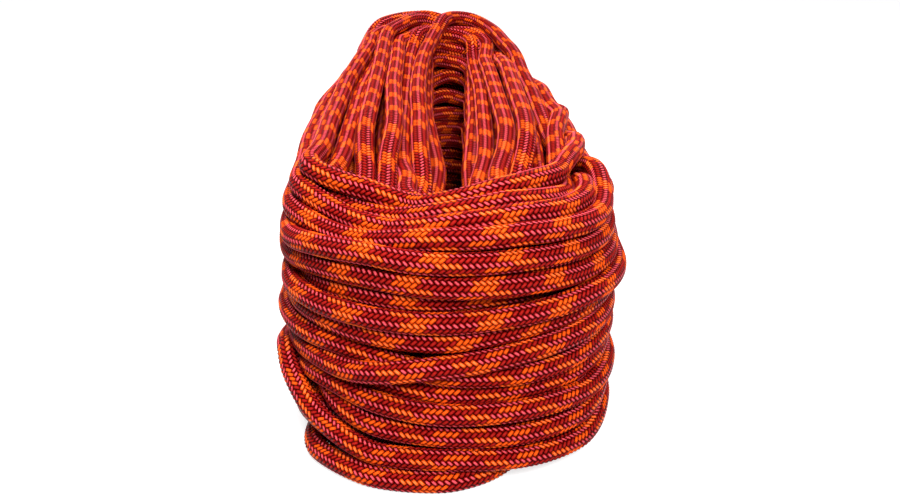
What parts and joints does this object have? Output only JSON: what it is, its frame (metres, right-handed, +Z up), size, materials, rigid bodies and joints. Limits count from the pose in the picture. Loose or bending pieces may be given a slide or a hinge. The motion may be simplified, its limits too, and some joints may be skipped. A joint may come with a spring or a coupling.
{
  "type": "dynamic climbing rope",
  "caption": "Braided kernmantle climbing rope put up as an oblong hank with an open eye, with sleeved and fused rope ends.",
  "frame": {"origin": "centre of the hank's footprint, on the ground it rests on", "axes": "+Y along the hank's long axis, away from the end that shows the stacked turns; +Z up, across the stacked turns; +X across the hank"},
  "size_m": [0.164, 0.4486, 0.134],
  "materials": {
    "rope_sheath": "braided polyamide yarn, magenta and orange",
    "core_strand": "twisted white polyamide strand",
    "tracer_yarn": "coloured marker yarn",
    "shrink_sleeve": "shrunk polyolefin sleeve, satin",
    "fused_tip": "melted polyamide, smooth and dark"
  },
  "bodies": {
    "root": {"inner_turns": "rope_sheath", "outer_turns": "rope_sheath", "start_tail": "rope_sheath", "start_sheath_end": "rope_sheath", "start_tracer_yarn": "tracer_yarn", "start_shrink_sleeve": "shrink_sleeve", "start_fused_tip": "fused_tip", "start_core_strand_1": "core_strand", "start_core_strand_2": "core_strand", "start_core_strand_3": "core_strand", "start_core_strand_4": "core_strand", "start_core_strand_5": "core_strand", "start_core_strand_6": "core_strand", "start_core_strand_7": "core_strand", "finish_sheath_end": "rope_sheath", "finish_tracer_yarn": "tracer_yarn", "finish_shrink_sleeve": "shrink_sleeve", "finish_fused_tip": "fused_tip", "finish_core_strand_1": "core_strand", "finish_core_strand_2": "core_strand", "finish_core_strand_3": "core_strand", "finish_core_strand_4": "core_strand", "finish_core_strand_5": "core_strand", "finish_core_strand_6": "core_strand", "finish_core_strand_7": "core_strand"}
  },
  "joints": []
}
